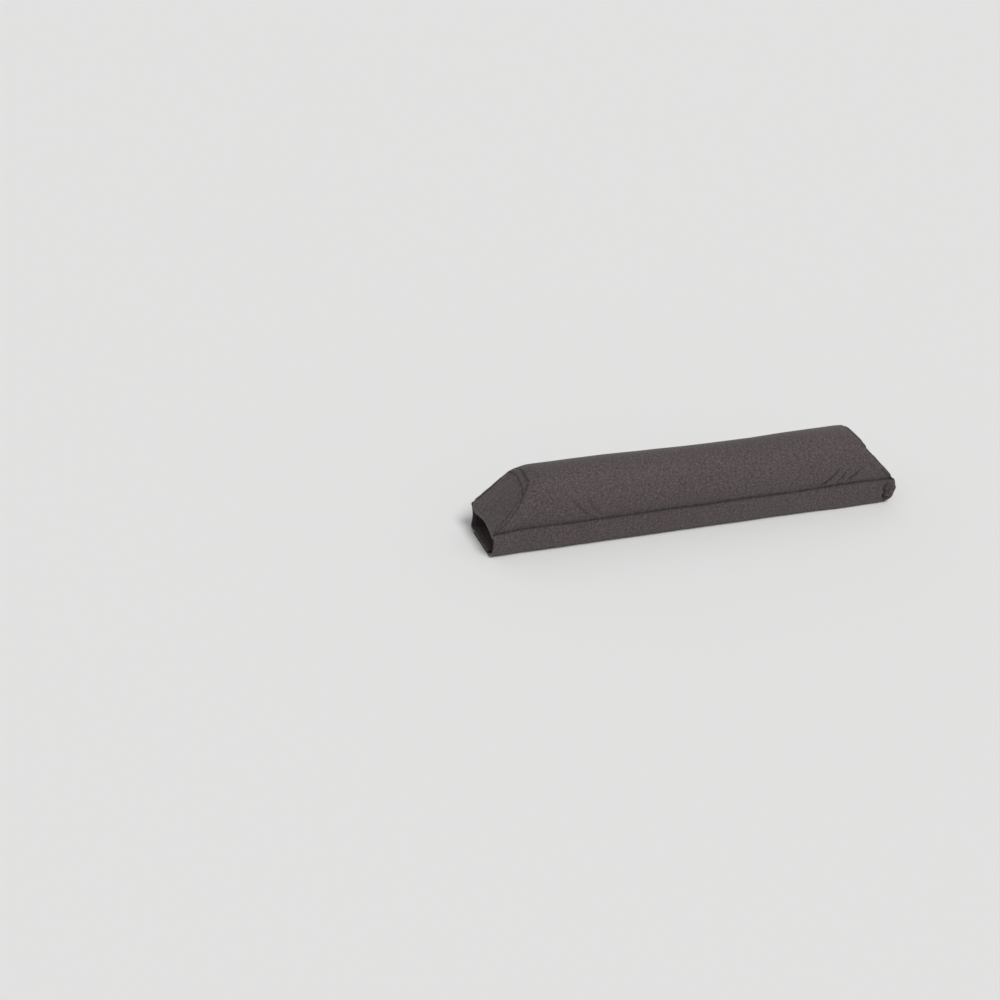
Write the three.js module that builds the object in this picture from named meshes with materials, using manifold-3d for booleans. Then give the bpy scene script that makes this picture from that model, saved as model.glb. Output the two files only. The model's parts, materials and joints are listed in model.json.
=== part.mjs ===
// A roof rack pad, in millimetres, with +Z up. A long foam block in a sewn cloth pocket lies along one flat
// slat of a roof rack. Two cloth flaps hang from the pocket's base seams, wrap round the slat and close under
// it with hook and loop tape. The slat itself isn't part of the pad, so the sleeve is open from end to end.
// X runs along the slat, -Y is the front, and the origin is the middle of the underside.
import * as THREE from "three";
import { mergeVertices } from "three/addons/utils/BufferGeometryUtils.js";
import Module from "manifold-3d";

const wasm = await Module();
wasm.setup();

// The slat that the pad wraps, and the play that it has in the sleeve.
const slatWidth = 80;
const slatHeight = 21;
const slatSidePlay = 0.5;
const slatTopPlay = 0.3;

// Cloth and sewing.
const cloth = 0.8;
const layerGap = 0.3;
const seamAllowance = 8;
const hemWidth = 10;

// The pocket, with its heights measured from the slat's top.
const padLength = 600;
const seamOverhang = 3;
const bellyBulge = 1.5;
const seatInset = 10;
const bellyRise = 22;
const seamRise = 11;
const crownRise = 77;
const crownFullness = 0.72;
const endLean = 60;
const endTuck = 2.5;
const endBow = 6;

// The flaps and their closure under the slat.
const flapProud = 0.9;
const flapCornerRadius = 2.2;
const freeEdgeInset = 12;
const tapeEdge = 2;
const tapeInset = 4;
const tapeEndMargin = 20;
const hookThickness = 1.2;
const loopThickness = 1.4;

// Widths that follow.
const seamWidth = slatWidth + 2 * seamOverhang;
const bellyWidth = seamWidth + 2 * bellyBulge;
const seatWidth = seamWidth - 2 * seatInset;
const freeEdge = slatWidth / 2 - freeEdgeInset;

// How finely the round stretches are drawn.
const foldSteps = 4;
const cornerSteps = 6;
const sideSteps = 5;
const shoulderSteps = 18;
const seatCurveSteps = 8;
const bowSteps = 24;

// How far a solid that is used to cut reaches past what it cuts.
const cutMargin = 10;

const layer = cloth + layerGap;

// Heights, from the lowest cloth up.
const hookZ = cloth + layerGap;
const loopZ = hookZ + hookThickness + layerGap;
const rearRunZ = loopZ + loopThickness + layerGap;
const slatBottomZ = rearRunZ + 2 * cloth + layerGap;
const slatTopZ = slatBottomZ + slatHeight;
const seatZ = slatTopZ + slatTopPlay;
const seamZ = slatTopZ + seamRise;
const crownZ = slatTopZ + crownRise;

const halfLength = padLength / 2;
const rowX = new THREE.Vector3(1, 0, 0);
const rowY = new THREE.Vector3(0, 1, 0);
const rowZ = new THREE.Vector3(0, 0, 1);
const alongX = new THREE.Matrix4().makeBasis(rowY, rowZ, rowX);
const alongY = new THREE.Matrix4().makeBasis(rowX, rowZ, rowY.clone().negate());
const at = (x, y) => new THREE.Vector2(x, y);

const clothMaterial = new THREE.MeshStandardMaterial({ color: 0x534c4b, roughness: 0.85, metalness: 0 });
const foamMaterial = new THREE.MeshStandardMaterial({ color: 0xc9c8c4, roughness: 0.95, metalness: 0 });
const tapeMaterial = new THREE.MeshStandardMaterial({ color: 0x232223, roughness: 0.8, metalness: 0 });

// A closed geometry as a solid that can be cut and joined.
function toSolid(geometry) {
  const bare = geometry.clone();
  bare.deleteAttribute("normal");
  bare.deleteAttribute("uv");
  const merged = mergeVertices(bare, 1e-4);
  const vertProperties = new Float32Array(merged.attributes.position.array);
  const triVerts = new Uint32Array(merged.index.array);
  return new wasm.Manifold(new wasm.Mesh({ numProp: 3, vertProperties, triVerts }));
}

function toMesh(name, solid, material) {
  const { vertProperties, triVerts } = solid.getMesh();
  const indexed = new THREE.BufferGeometry();
  indexed.setAttribute("position", new THREE.BufferAttribute(vertProperties, 3));
  indexed.setIndex(new THREE.BufferAttribute(triVerts, 1));
  const geometry = indexed.toNonIndexed();
  geometry.computeVertexNormals();
  const mesh = new THREE.Mesh(geometry, material);
  mesh.name = name;
  return mesh;
}

// A section in Y and Z, run along the pad between two stations.
function runAlong(outline, fromX, toX) {
  const options = { depth: toX - fromX, bevelEnabled: false };
  const run = new THREE.ExtrudeGeometry(new THREE.Shape(outline), options);
  return toSolid(run.translate(0, 0, fromX).applyMatrix4(alongX));
}

// How far the end panel is drawn in at its foot, most in the middle of its width and none from the seam up.
function footBow(y, z) {
  const across = Math.max(0, 1 - (2 * y / seatWidth) ** 2);
  const below = THREE.MathUtils.clamp((seamZ - z) / (seamZ - seatZ), 0, 1);
  return endBow * across * below;
}

// A side view in X and Z, run across the pad, with its ends bowed as the end panels are.
function runAcross(outline) {
  const width = bellyWidth + 2 * cutMargin;
  const options = { depth: width, steps: bowSteps, bevelEnabled: false };
  const run = new THREE.ExtrudeGeometry(new THREE.Shape(outline), options);
  run.translate(0, 0, -width / 2).applyMatrix4(alongY);
  const { position } = run.attributes;
  for (let i = 0; i < position.count; i++) {
    const x = position.getX(i);
    position.setX(i, x - Math.sign(x) * footBow(position.getY(i), position.getZ(i)));
  }
  return toSolid(run);
}

// The line at a distance to the left of a line of points, with mitred corners.
function offsetLine(points, distance) {
  const left = (a, b) => at(a.y - b.y, b.x - a.x).normalize();
  return points.map((point, i) => {
    const before = left(points[Math.max(i - 1, 0)], points[Math.max(i, 1)]);
    const after = left(points[Math.min(i, points.length - 2)], points[Math.min(i + 1, points.length - 1)]);
    const mitre = before.clone().add(after).normalize();
    return mitre.multiplyScalar(distance / mitre.dot(before)).add(point);
  });
}

// The outline of a band that lies from one distance to another to the left of a line.
function bandOutline(line, from, to) {
  return [...offsetLine(line, to), ...offsetLine(line, from).reverse()];
}

// The outline of a strip of cloth, from its centreline.
function clothOutline(centreline) {
  return bandOutline(centreline, -cloth / 2, cloth / 2);
}

const mirrored = (points) => points.map((p) => at(-p.x, p.y)).reverse();
const bezier = (a, b, c, d, steps) => new THREE.CubicBezierCurve(a, b, c, d).getPoints(steps);
const quadratic = (a, b, c, steps) => new THREE.QuadraticBezierCurve(a, b, c).getPoints(steps);

function arc(centre, radius, fromDegrees, toDegrees, steps) {
  return Array.from({ length: steps + 1 }, (_, i) => {
    const angle = THREE.MathUtils.degToRad(THREE.MathUtils.lerp(fromDegrees, toDegrees, i / steps));
    return at(centre.x + radius * Math.cos(angle), centre.y + radius * Math.sin(angle));
  });
}

// The pocket's outer face in section, from the front base seam over the crown to the rear one.
const coverFold = layer / 2;
const coverFootZ = seamZ + cloth / 2 + coverFold;

function pocketFace() {
  const seam = at(-seamWidth / 2, coverFootZ);
  const belly = at(-bellyWidth / 2, slatTopZ + bellyRise);
  const crown = at(0, crownZ);
  const bellyPull = at(belly.x, (seam.y + belly.y) / 2);
  const shoulderPull = at(belly.x, THREE.MathUtils.lerp(belly.y, crown.y, crownFullness));
  const crownPull = at(belly.x * crownFullness, crown.y);
  const side = quadratic(seam, bellyPull, belly, sideSteps);
  const shoulder = bezier(belly, shoulderPull, crownPull, crown, shoulderSteps);
  const half = [...side, ...shoulder.slice(1)];
  return [...half, ...mirrored(half).slice(1)];
}

// The outer cover: its face, and at each base seam a fold and the allowance turned up inside.
function coverSection() {
  const face = offsetLine(pocketFace(), -cloth / 2);
  const centre = at(face[0].x + coverFold, coverFootZ);
  const fold = arc(centre, coverFold, 360, 180, 2 * foldSteps);
  const allowanceTop = at(fold[0].x, seamZ + seamAllowance);
  const front = [allowanceTop, ...fold];
  return clothOutline([...front, ...face.slice(1, -1), ...mirrored(front)]);
}

// Inside the cover's own allowance lie the flap's and then the base panel's.
const allowanceY = (count) => -(seamWidth / 2 - cloth / 2 - count * layer);

// The base panel's centreline, from the front allowance's top down to the seat and across to the rear one.
function baseLine() {
  const side = allowanceY(3);
  const turnZ = seamZ - 2 * layer;
  const seatEdge = at(-seatWidth / 2, seatZ + cloth / 2);
  const curve = quadratic(at(side, turnZ), at(side, seatEdge.y), seatEdge, seatCurveSteps);
  const half = [at(side, seamZ + seamAllowance), ...curve];
  return [...half, ...mirrored(half)];
}

// The sewn end of a flap's centreline, as the front one lies: down between the allowances and out.
function sewnLine() {
  const turn = 0.75 * cloth;
  const tail = allowanceY(2);
  const exitZ = seamZ - layerGap - cloth / 2;
  const top = -(seamWidth / 2 + flapProud - cloth / 2);
  return [
    at(tail, seamZ + seamAllowance),
    ...arc(at(tail - turn, exitZ + turn), turn, 0, -90, foldSteps),
    ...arc(at(top + turn, exitZ - turn), turn, 90, 180, foldSteps),
  ];
}

// The rest of it: down the slat's side, round its lower corner and on to the free edge.
function cornerLine() {
  const foot = -(slatWidth / 2 + slatSidePlay + 1.5 * cloth);
  const cornerZ = rearRunZ + cloth / 2 + flapCornerRadius;
  return arc(at(foot + flapCornerRadius, cornerZ), flapCornerRadius, 180, 270, cornerSteps);
}

// The rear flap runs straight across under the slat. The front one drops under the tapes on the way.
function rearRun() {
  return [at(freeEdge, rearRunZ + cloth / 2)];
}

function frontRun() {
  const corner = cornerLine().at(-1);
  const landing = at(-freeEdge, cloth / 2);
  const middle = (corner.x + landing.x) / 2;
  const ramp = bezier(corner, at(middle, corner.y), at(middle, landing.y), landing, cornerSteps);
  return [...ramp.slice(1), at(freeEdge, cloth / 2)];
}

// The pocket's side view, drawn in by an inset from its outer face.
function sideView(inset) {
  const lean = endLean / (crownZ - seamZ);
  const slopeInset = inset * Math.hypot(1, lean);
  const foot = at(halfLength - endTuck - inset, seatZ);
  const seam = at(halfLength - slopeInset, seamZ);
  const top = at(halfLength - slopeInset - lean * (crownZ - seamZ + cutMargin), crownZ + cutMargin);
  return { foot, seam, top };
}

// Everything within the end panels' outer faces, or further in by the inset.
function pocketRoom(inset) {
  const { foot, seam, top } = sideView(inset);
  const below = at(foot.x, foot.y - cutMargin);
  const right = [below, foot, seam, top];
  return runAcross([...right, ...mirrored(right)]);
}

// What lies inside the cover, down to the base panel's underside: the end panels are cut to this.
function pocketBore(clearance) {
  const face = offsetLine(pocketFace(), -(cloth + layerGap - clearance));
  const base = baseLine();
  const underside = offsetLine(base.slice(1, -1), -(cloth / 2 + clearance)).reverse();
  return runAlong([...face, ...underside], -halfLength - cutMargin, halfLength + cutMargin);
}

// A sheet over both ends of the pocket.
function endSheets() {
  return pocketRoom(0).subtract(pocketRoom(cloth)).intersect(pocketBore(0));
}

// The room of the end panels and what lies beyond them, which the cover and the flaps stay clear of.
function endRoom() {
  return pocketBore(layerGap).subtract(pocketRoom(layer));
}

function halfSpace(side) {
  const size = 2 * padLength;
  return toSolid(new THREE.BoxGeometry(size, size, size).translate(side * size / 2, 0, 0));
}

function endPanel(name, side) {
  return toMesh(name, endSheets().intersect(halfSpace(side)), clothMaterial);
}

function topCover() {
  const run = runAlong(coverSection(), -halfLength, halfLength);
  return toMesh("top_cover", run.intersect(pocketRoom(0)).subtract(endRoom()), clothMaterial);
}

function basePanel() {
  const run = runAlong(clothOutline(baseLine()), -halfLength, halfLength);
  return toMesh("base_panel", run.intersect(pocketRoom(layer)), clothMaterial);
}

// A flap as the front one lies, with a hem turned in at each end.
function flap(name, run) {
  const hanging = [...cornerLine(), ...run];
  const sheet = runAlong(clothOutline([...sewnLine(), ...hanging]), -halfLength, halfLength);
  const hem = bandOutline(hanging, 0, 1.5 * cloth);
  const leftHem = runAlong(hem, -halfLength, hemWidth - halfLength);
  const rightHem = runAlong(hem, halfLength - hemWidth, halfLength);
  return toMesh(name, sheet.subtract(endRoom()).add(leftHem).add(rightHem), clothMaterial);
}

function rearFlap() {
  const mesh = flap("rear_flap", rearRun());
  mesh.rotation.z = Math.PI;
  return mesh;
}

// The foam block fills the pocket, and the seam allowances dent it.
function foamCore() {
  const face = offsetLine(pocketFace(), -layer);
  const inside = offsetLine(baseLine(), cloth / 2 + layerGap);
  const notchTop = at(inside[0].x, seamZ + seamAllowance + layerGap);
  const above = face.filter((p) => p.y > notchTop.y);
  const below = inside.slice(1, -1).reverse();
  const outline = [...above, at(-notchTop.x, notchTop.y), ...below, notchTop];
  const run = runAlong(outline, -halfLength, halfLength);
  return toMesh("foam_core", run.intersect(pocketRoom(layer)), foamMaterial);
}

function tape(name, z, thickness, fromY, toY) {
  const box = new THREE.BoxGeometry(padLength - 2 * tapeEndMargin, toY - fromY, thickness);
  const mesh = new THREE.Mesh(box, tapeMaterial);
  mesh.name = name;
  mesh.position.set(0, (fromY + toY) / 2, z + thickness / 2);
  return mesh;
}

// Each tape is sewn near its own flap's free edge.
const tapeFar = freeEdge - tapeEdge;
const tapeNear = tapeInset - freeEdge;
const pad = new THREE.Group();
pad.add(
  foamCore(),
  topCover(),
  endPanel("end_panel_left", -1),
  endPanel("end_panel_right", 1),
  basePanel(),
  flap("front_flap", frontRun()),
  rearFlap(),
  tape("hook_strip", hookZ, hookThickness, tapeNear, tapeFar),
  tape("loop_strip", loopZ, loopThickness, -tapeFar, -tapeNear),
);

export default pad;
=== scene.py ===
"""Dresses a roof rack pad: a foam block in a sewn cloth pocket, over a sleeve that two flaps close.

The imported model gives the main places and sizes. The pocket's panels are one mesh of even squares, which
the cloth simulation blows up against its held seams. Seams, ridges and folds are then worked into it, and
it is cut along its seams into the cover, the two ends and the base.
"""

import itertools
import json
import math

import bpy
import numpy as np
from bpy.props import FloatProperty, FloatVectorProperty, IntProperty, PointerProperty
from bpy.types import Operator, Panel, PropertyGroup
from mathutils import Matrix, Vector


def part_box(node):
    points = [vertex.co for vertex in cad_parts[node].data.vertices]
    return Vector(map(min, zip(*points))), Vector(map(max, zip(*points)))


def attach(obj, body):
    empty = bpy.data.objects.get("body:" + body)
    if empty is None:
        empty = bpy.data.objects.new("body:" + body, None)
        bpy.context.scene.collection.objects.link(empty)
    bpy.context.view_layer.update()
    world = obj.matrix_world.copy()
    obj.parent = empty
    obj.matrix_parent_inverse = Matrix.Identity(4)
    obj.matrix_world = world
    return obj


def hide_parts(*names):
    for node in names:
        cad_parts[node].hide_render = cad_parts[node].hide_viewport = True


bl_info = {
    "name": "Roof rack pad",
    "version": (1, 0, 0),
    "blender": (4, 5, 0),
    "location": "3D View > Sidebar > Rack Pad",
    "description": "Builds the cloth, foam and stitching of a roof rack pad round its packed model",
    "category": "Object",
}

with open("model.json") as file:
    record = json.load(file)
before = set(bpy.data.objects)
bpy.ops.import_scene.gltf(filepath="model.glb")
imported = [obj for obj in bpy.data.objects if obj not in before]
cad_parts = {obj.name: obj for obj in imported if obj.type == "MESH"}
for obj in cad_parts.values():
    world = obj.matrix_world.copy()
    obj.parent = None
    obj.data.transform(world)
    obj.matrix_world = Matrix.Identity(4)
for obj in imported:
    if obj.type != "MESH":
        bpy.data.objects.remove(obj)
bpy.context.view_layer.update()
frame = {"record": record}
MM = 0.001


def box_of(node):
    low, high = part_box(node)
    return np.array(low), np.array(high)


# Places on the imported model, in metres. The front is at -Y, and X runs along the pad.
COVER_LOW, COVER_HIGH = box_of("top_cover")
END_LOW, END_HIGH = box_of("end_panel_right")
FRONT_LOW, FRONT_HIGH = box_of("front_flap")
HOOK_LOW, HOOK_HIGH = box_of("hook_strip")
LOOP_LOW, LOOP_HIGH = box_of("loop_strip")
SLEEVE_FRONT = frame["record"]["physics"]["openings"][0]["box_m"][0][1]

HALF_LENGTH = COVER_HIGH[0]
SEAM_Z = COVER_LOW[2]
CROWN_Z = COVER_HIGH[2]
SEAT_Z = box_of("base_panel")[0][2]
REAR_RUN_Z = box_of("rear_flap")[0][2]
BELLY_HALF = COVER_HIGH[1]
FLAP_HALF = -FRONT_LOW[1]
FREE_EDGE = FRONT_HIGH[1]
LEAN = (END_HIGH[0] - END_LOW[0]) / (END_HIGH[2] - SEAM_Z)

SEAM_INSET = 0.9 * MM
BELLY_RISE = 11 * MM
SEAT_RIM = 10 * MM
SEAM_HALF = FLAP_HALF - SEAM_INSET
BELLY_Z = SEAM_Z + BELLY_RISE
SEAT_HALF = SEAM_HALF - SEAT_RIM

# How the base seams wander up and down along the pad, as (x, rise) in millimetres.
FRONT_SEAM_WANDER = (
    (-300, -1.5), (-255, 1.5), (-150, 0.7), (-50, 1.3), (5, 0.5), (60, 1.6), (135, 1), (245, 3), (300, 1.4),
)
REAR_SEAM_WANDER = ((-300, 0.6), (-190, 2.2), (-60, 1.4), (70, -1.6), (190, -2.2), (300, 0))

# How far that wandering carries: below the seat, above the seams and in from the sides.
CARRY_BELOW, CARRY_ABOVE, CARRY_IN = 6 * MM, 34 * MM, 30 * MM

# How the crown's height wanders along the pad, as (x, rise) in millimetres.
CROWN_WANDER = (
    (-300, 0), (-225, 1.2), (-135, 2.3), (-60, 1), (30, -0.4), (90, -0.2), (150, 1.3), (240, 0.8), (300, 0),
)

# The left end's outline as sewn, as (y, z) in millimetres: up the front, over the crown and down the rear.
LEFT_OUTLINE = (
    (-44, 39), (-48, 50), (-48, 63), (-43, 74), (-31, 85), (-21, 95), (-4, 97),
    (13, 98), (26, 94), (33, 86), (35, 77), (37, 65), (41, 49), (43, 39),
)
OUTLINE_MIDDLE = (0, 58)

# How far the end panels' lower edge is tucked in, at its corners and more at its middle, in millimetres.
END_TUCK, END_BOW = 2.5, 6

# Where an end panel's stitched band closes up at the shoulders, as (side, z), how much and how far round.
PINCH_PLACE = (33 * MM, 84 * MM)
PINCH, PINCH_REACH = 5.2 * MM, 8 * MM

# The crumpled right end of the front flap, as (x, z) in millimetres: its middle, and half its size each way.
CRUMPLE_PLACE, CRUMPLE_SIZE = (293, 21), (10, 14)

# Where the flaps hang lowest, as x, how far to each side, and how much, at the front and at the rear.
SAG_PLACE, SAG_REACH = 243 * MM, 50 * MM
SAG = {"front": 3.2 * MM, "rear": 1.6 * MM}

# How far below its seam a flap's end hems start.
HEM_TOP = 6 * MM

# Folds on the pocket's long sides, as (start, end, depth) in millimetres, with each point as (x, z).
FRONT_FOLDS = (
    ((183, 43), (206, 64), 2.0),
    ((207, 45), (219, 62), 1.7),
    ((225, 47), (242, 62), 1.9),
    ((160, 43), (174, 54), 1.1),
    ((-186, 68), (-164, 46), 1.3),
    ((-170, 72), (-149, 47), 1.1),
    ((-204, 60), (-190, 45), 0.8),
    ((-149, 84), (-151, 62), 0.6),
    ((-236, 92), (-214, 84), 0.9),
    ((-240, 84), (-222, 72), 0.8),
    ((-262, 48), (-240, 60), 0.9),
    ((254, 70), (270, 55), 0.7),
    ((278, 56), (291, 44), 1.4),
)
REAR_FOLDS = (
    ((-236, 62), (-218, 46), 1.2),
    ((-212, 60), (-198, 45), 1.0),
    ((146, 64), (166, 47), 0.9),
    ((238, 58), (258, 46), 1.1),
    ((20, 70), (44, 50), 0.6),
)

# Puckers by the end seams, on the shoulders and at a base corner: ((x, y, z), depth, width) in millimetres.
PUCKERS = (
    ((-246, -19, 99), 3.0, 2.6),
    ((-241, -18, 100), 2.6, 2.2),
    ((-251, -27, 93), 1.8, 2.6),
    ((-262, -38, 80), 0.8, 2.4),
    ((-256, 26, 92), 1.2, 3.0),
    ((251, -25, 95), 0.6, 3.2),
    ((247, 21, 98), 1.8, 3.2),
    ((252, 27, 92), 1.1, 2.6),
    ((300, -43, 38), 1.8, 3.0),
)


class PadSizes(PropertyGroup):
    """Sizes that shape the cloth and the foam."""

    mesh_step: FloatProperty(
        name="Mesh step", description="Spacing of the pocket's squares round its section and near its ends",
        default=3.5 * MM, min=2.5 * MM, max=10 * MM, unit="LENGTH",
    )
    middle_step: FloatProperty(
        name="Middle step", description="Spacing of the pocket's squares along its middle",
        default=6.6 * MM, min=3 * MM, max=15 * MM, unit="LENGTH",
    )
    flap_step: FloatProperty(
        name="Flap step", description="Spacing of the squares of the two flaps",
        default=1.5 * MM, min=1 * MM, max=6 * MM, unit="LENGTH",
    )
    cloth: FloatProperty(
        name="Cloth thickness", description="Thickness of one layer of the cover cloth",
        default=0.8 * MM, min=0.2 * MM, max=2 * MM, unit="LENGTH",
    )
    fullness: FloatProperty(
        name="Shoulder fullness", description="How square the pocket's shoulders are, from round to boxy",
        default=0.72, min=0.3, max=0.95, subtype="FACTOR",
    )
    start_inset: FloatProperty(
        name="Start inset", description="How far inside its final face the pocket starts, before it swells",
        default=1.3 * MM, min=0, max=6 * MM, unit="LENGTH",
    )
    pressure: FloatProperty(
        name="Filling pressure", description="Pressure of the filling in the cloth simulation",
        default=8, min=0, max=20,
    )
    swell_cap: FloatProperty(
        name="Swell cap", description="Furthest that the simulation may move a point",
        default=5 * MM, min=1 * MM, max=16 * MM, unit="LENGTH",
    )
    foam_gap: FloatProperty(
        name="Foam inset", description="How far the foam lies inside the cloth, under its deepest fold",
        default=4 * MM, min=1 * MM, max=8 * MM, unit="LENGTH",
    )
    seam_depth: FloatProperty(
        name="Seam depth", description="Depth of the crease along a sewn seam",
        default=1.6 * MM, min=0, max=4 * MM, unit="LENGTH",
    )
    seam_width: FloatProperty(
        name="Seam width", description="Half width of the crease along a sewn seam",
        default=1.5 * MM, min=0.5 * MM, max=6 * MM, unit="LENGTH",
    )
    band_height: FloatProperty(
        name="Band height", description="How far the end seam's allowance lifts the end panel over it",
        default=1.0 * MM, min=0, max=3 * MM, unit="LENGTH",
    )
    band_width: FloatProperty(
        name="Band width", description="Width of the end seam's allowance, as far as its line of stitches",
        default=6.2 * MM, min=3 * MM, max=15 * MM, unit="LENGTH",
    )
    fold_width: FloatProperty(
        name="Fold width", description="Half width of the short folds on the long sides",
        default=2.3 * MM, min=1 * MM, max=8 * MM, unit="LENGTH",
    )
    hem_width: FloatProperty(
        name="Hem width", description="Width of the turned hem at each end of a flap",
        default=10 * MM, min=4 * MM, max=20 * MM, unit="LENGTH",
    )
    corner_radius: FloatProperty(
        name="Flap corner", description="Radius at which a flap turns in under the sleeve",
        default=4.2 * MM, min=1 * MM, max=8 * MM, unit="LENGTH",
    )
    stitch_length: FloatProperty(
        name="Stitch length", description="Length of one stitch",
        default=3.2 * MM, min=1.5 * MM, max=6 * MM, unit="LENGTH",
    )
    thread_radius: FloatProperty(
        name="Thread radius", description="Radius of the sewing thread",
        default=0.26 * MM, min=0.1 * MM, max=0.6 * MM, unit="LENGTH",
    )
    seed: IntProperty(name="Seed", description="Seed of the cloth's small irregularities", default=7, min=0)


class PadFinish(PropertyGroup):
    """Colours and surface scales."""

    cloth_colour: FloatVectorProperty(
        name="Cloth", description="Colour of the cover cloth",
        default=(0.0805, 0.062, 0.0625), size=3, min=0, max=1, subtype="COLOR",
    )
    thread_colour: FloatVectorProperty(
        name="Thread", description="Colour of the sewing thread",
        default=(0.05, 0.043, 0.042), size=3, min=0, max=1, subtype="COLOR",
    )
    tape_colour: FloatVectorProperty(
        name="Tape", description="Colour of the hook and loop tapes",
        default=(0.018, 0.017, 0.018), size=3, min=0, max=1, subtype="COLOR",
    )
    foam_colour: FloatVectorProperty(
        name="Foam", description="Colour of the foam block",
        default=(0.58, 0.57, 0.55), size=3, min=0, max=1, subtype="COLOR",
    )
    weave_pitch: FloatProperty(
        name="Weave pitch", description="Distance between neighbouring threads of the cover cloth",
        default=0.9 * MM, min=0.2 * MM, max=3 * MM, unit="LENGTH",
    )


class PadStage(PropertyGroup):
    """The floor, the lights and the camera."""

    floor_colour: FloatVectorProperty(
        name="Floor", description="Colour of the floor",
        default=(0.9, 0.9, 0.895), size=3, min=0, max=1, subtype="COLOR",
    )
    sky_level: FloatProperty(name="Sky level", description="Strength of the even light", default=0.38, min=0)
    backdrop_level: FloatProperty(
        name="Backdrop level", description="Brightness of the sky itself, which goes on where the floor ends",
        default=0.775, min=0,
    )
    key_level: FloatProperty(
        name="Key light", description="Strength of the wide soft lamp above the front right",
        default=1.75, min=0,
    )
    key_softness: FloatProperty(
        name="Key softness", description="Angle that the soft lamp takes up, seen from the pad",
        default=math.radians(24), subtype="ANGLE", unit="ROTATION",
    )
    lens: FloatProperty(
        name="Lens", description="Focal length in millimetres, on a sensor 36 mm wide",
        default=65.483, min=10,
    )
    camera_place: FloatVectorProperty(
        name="Camera place", description="Where the camera stands",
        default=(-1.0421, -1.94676, 1.24068), size=3, subtype="TRANSLATION", unit="LENGTH",
    )
    azimuth: FloatProperty(
        name="Azimuth", description="Turn of the view about the vertical, from a look along +Y",
        default=math.radians(-21.489), subtype="ANGLE", unit="ROTATION",
    )
    elevation: FloatProperty(
        name="Elevation", description="Angle at which the camera looks down",
        default=math.radians(29.365), subtype="ANGLE", unit="ROTATION",
    )
    roll: FloatProperty(
        name="Roll", description="Turn of the camera about its own view",
        default=math.radians(3.417), subtype="ANGLE", unit="ROTATION",
    )


# Curves and noise

def bezier(a, b, c, d, count=40):
    t = np.linspace(0, 1, count)[:, None]
    points = [np.array(p) for p in (a, b, c, d)]
    weights = ((1 - t) ** 3, 3 * (1 - t) ** 2 * t, 3 * (1 - t) * t**2, t**3)
    return sum(weight * point for weight, point in zip(weights, points))


def arc(centre, radius, start, stop, count=9):
    turn = np.radians(np.linspace(start, stop, count))
    return np.array(centre) + radius * np.stack([np.cos(turn), np.sin(turn)], axis=1)


def distances_along(points):
    steps = np.linalg.norm(np.diff(points, axis=0), axis=1)
    return np.concatenate([[0], np.cumsum(steps)])


def evenly(points, count):
    """The same line with a number of steps of one length."""
    along = distances_along(points)
    places = np.linspace(0, along[-1], count + 1)
    return np.stack([np.interp(places, along, points[:, k]) for k in range(points.shape[1])], axis=1)


def smooth_step(value):
    t = np.clip(value, 0, 1)
    return t * t * (3 - 2 * t)


def bump(distance, width):
    return np.exp(-((distance / width) ** 2))


def wander(x, stations):
    """A smooth line through a few stations in millimetres, given and returned in metres."""
    places, values = np.array(stations, dtype=float).T * MM
    index = np.clip(np.searchsorted(places, x) - 1, 0, len(places) - 2)
    share = (x - places[index]) / (places[index + 1] - places[index])
    return values[index] + (values[index + 1] - values[index]) * smooth_step(share)


def soft_noise(points, scale, seed):
    """Smooth noise from about -1 to 1: a random slope at each corner of a lattice, blended between them."""
    points = np.atleast_2d(points.T).T / scale
    size = points.shape[1]
    slopes = np.random.default_rng(seed).normal(size=(4096, size))
    slopes /= np.linalg.norm(slopes, axis=1, keepdims=True)
    primes = np.array([73856093, 19349663, 83492791])[:size]
    cell = np.floor(points).astype(np.int64)
    offset = points - cell
    share = smooth_step(offset)
    total = np.zeros(len(points))
    for corner in itertools.product((0, 1), repeat=size):
        weight = np.where(np.array(corner) == 1, share, 1 - share).prod(axis=1)
        slope = slopes[((cell + corner) * primes).sum(axis=1) % len(slopes)]
        total += weight * (slope * (offset - corner)).sum(axis=1)
    return 1.6 * total


def distance_to_line(points, line):
    """Shortest distance of each point to a line of points, in the plane."""
    best = np.full(len(points), np.inf)
    for start, stop in zip(line[:-1], line[1:]):
        run = stop - start
        share = np.clip(((points - start) @ run) / (run @ run), 0, 1)
        best = np.minimum(best, np.linalg.norm(points - start - share[:, None] * run, axis=1))
    return best


# Meshes

def grid_faces(grid):
    """Squares between neighbouring points of a grid of point numbers."""
    corners = (grid[:-1, :-1], grid[:-1, 1:], grid[1:, 1:], grid[1:, :-1])
    return np.stack(corners, axis=2).reshape(-1, 4)


def mesh_object(name, points, faces, uvs=None, kinds=None):
    mesh = bpy.data.meshes.new(name)
    mesh.from_pydata([tuple(p) for p in points], [], [tuple(int(i) for i in face) for face in faces])
    if uvs is not None:
        layer = mesh.uv_layers.new(name="cloth")
        layer.data.foreach_set("uv", np.asarray(uvs, dtype=np.float32).ravel())
    if kinds is not None:
        mesh.polygons.foreach_set("material_index", np.asarray(kinds, dtype=np.int32))
    mesh.polygons.foreach_set("use_smooth", np.ones(len(mesh.polygons), dtype=bool))
    mesh.update()
    obj = bpy.data.objects.new(name, mesh)
    bpy.context.scene.collection.objects.link(obj)
    return obj


def listed(items, field, width, kind=float):
    """One field of every item of a mesh, as rows of a width."""
    flat = np.empty(len(items) * width, dtype=kind)
    items.foreach_get(field, flat)
    return flat.reshape(-1, width)


def points_of(mesh):
    return listed(mesh.vertices, "co", 3)


def normals_of(mesh):
    return listed(mesh.vertices, "normal", 3)


def quads_of(mesh):
    return listed(mesh.loops, "vertex_index", 1, np.int32).reshape(-1, 4)


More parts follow.
